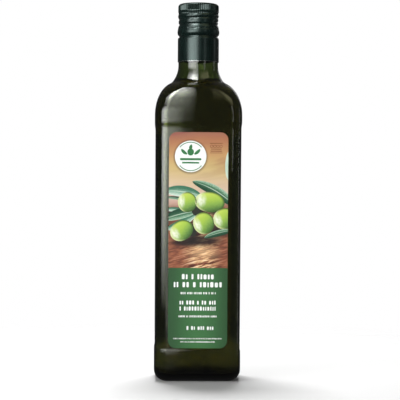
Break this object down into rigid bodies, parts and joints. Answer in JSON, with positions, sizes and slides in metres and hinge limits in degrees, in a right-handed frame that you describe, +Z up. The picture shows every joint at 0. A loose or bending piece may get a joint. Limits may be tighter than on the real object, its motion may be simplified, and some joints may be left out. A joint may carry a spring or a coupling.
{
  "type": "bottle of olive oil",
  "caption": "Square dark green glass bottle of olive oil with rounded shoulders, a long rolled-on screw cap and a paper label front and back.",
  "frame": {"origin": "centre of the base, on the plane that the bottle stands on", "axes": "+Z up along the bottle's axis, -Y the way the front label faces, +X to the right seen from the front"},
  "size_m": [0.067, 0.067, 0.2913],
  "materials": {
    "green_glass": "glossy, dark green, see-through where the bottle is empty",
    "oil": "clear green-gold liquid",
    "cap_metal": "satin lacquer, almost black green",
    "front_paper": "coated paper with a printed picture above a green field",
    "back_paper": "coated paper, green with plain pale rules"
  },
  "bodies": {
    "root": {"bottle": "green_glass", "oil": "oil", "cap": "cap_metal", "front_label": "front_paper", "back_label": "back_paper"}
  },
  "joints": []
}
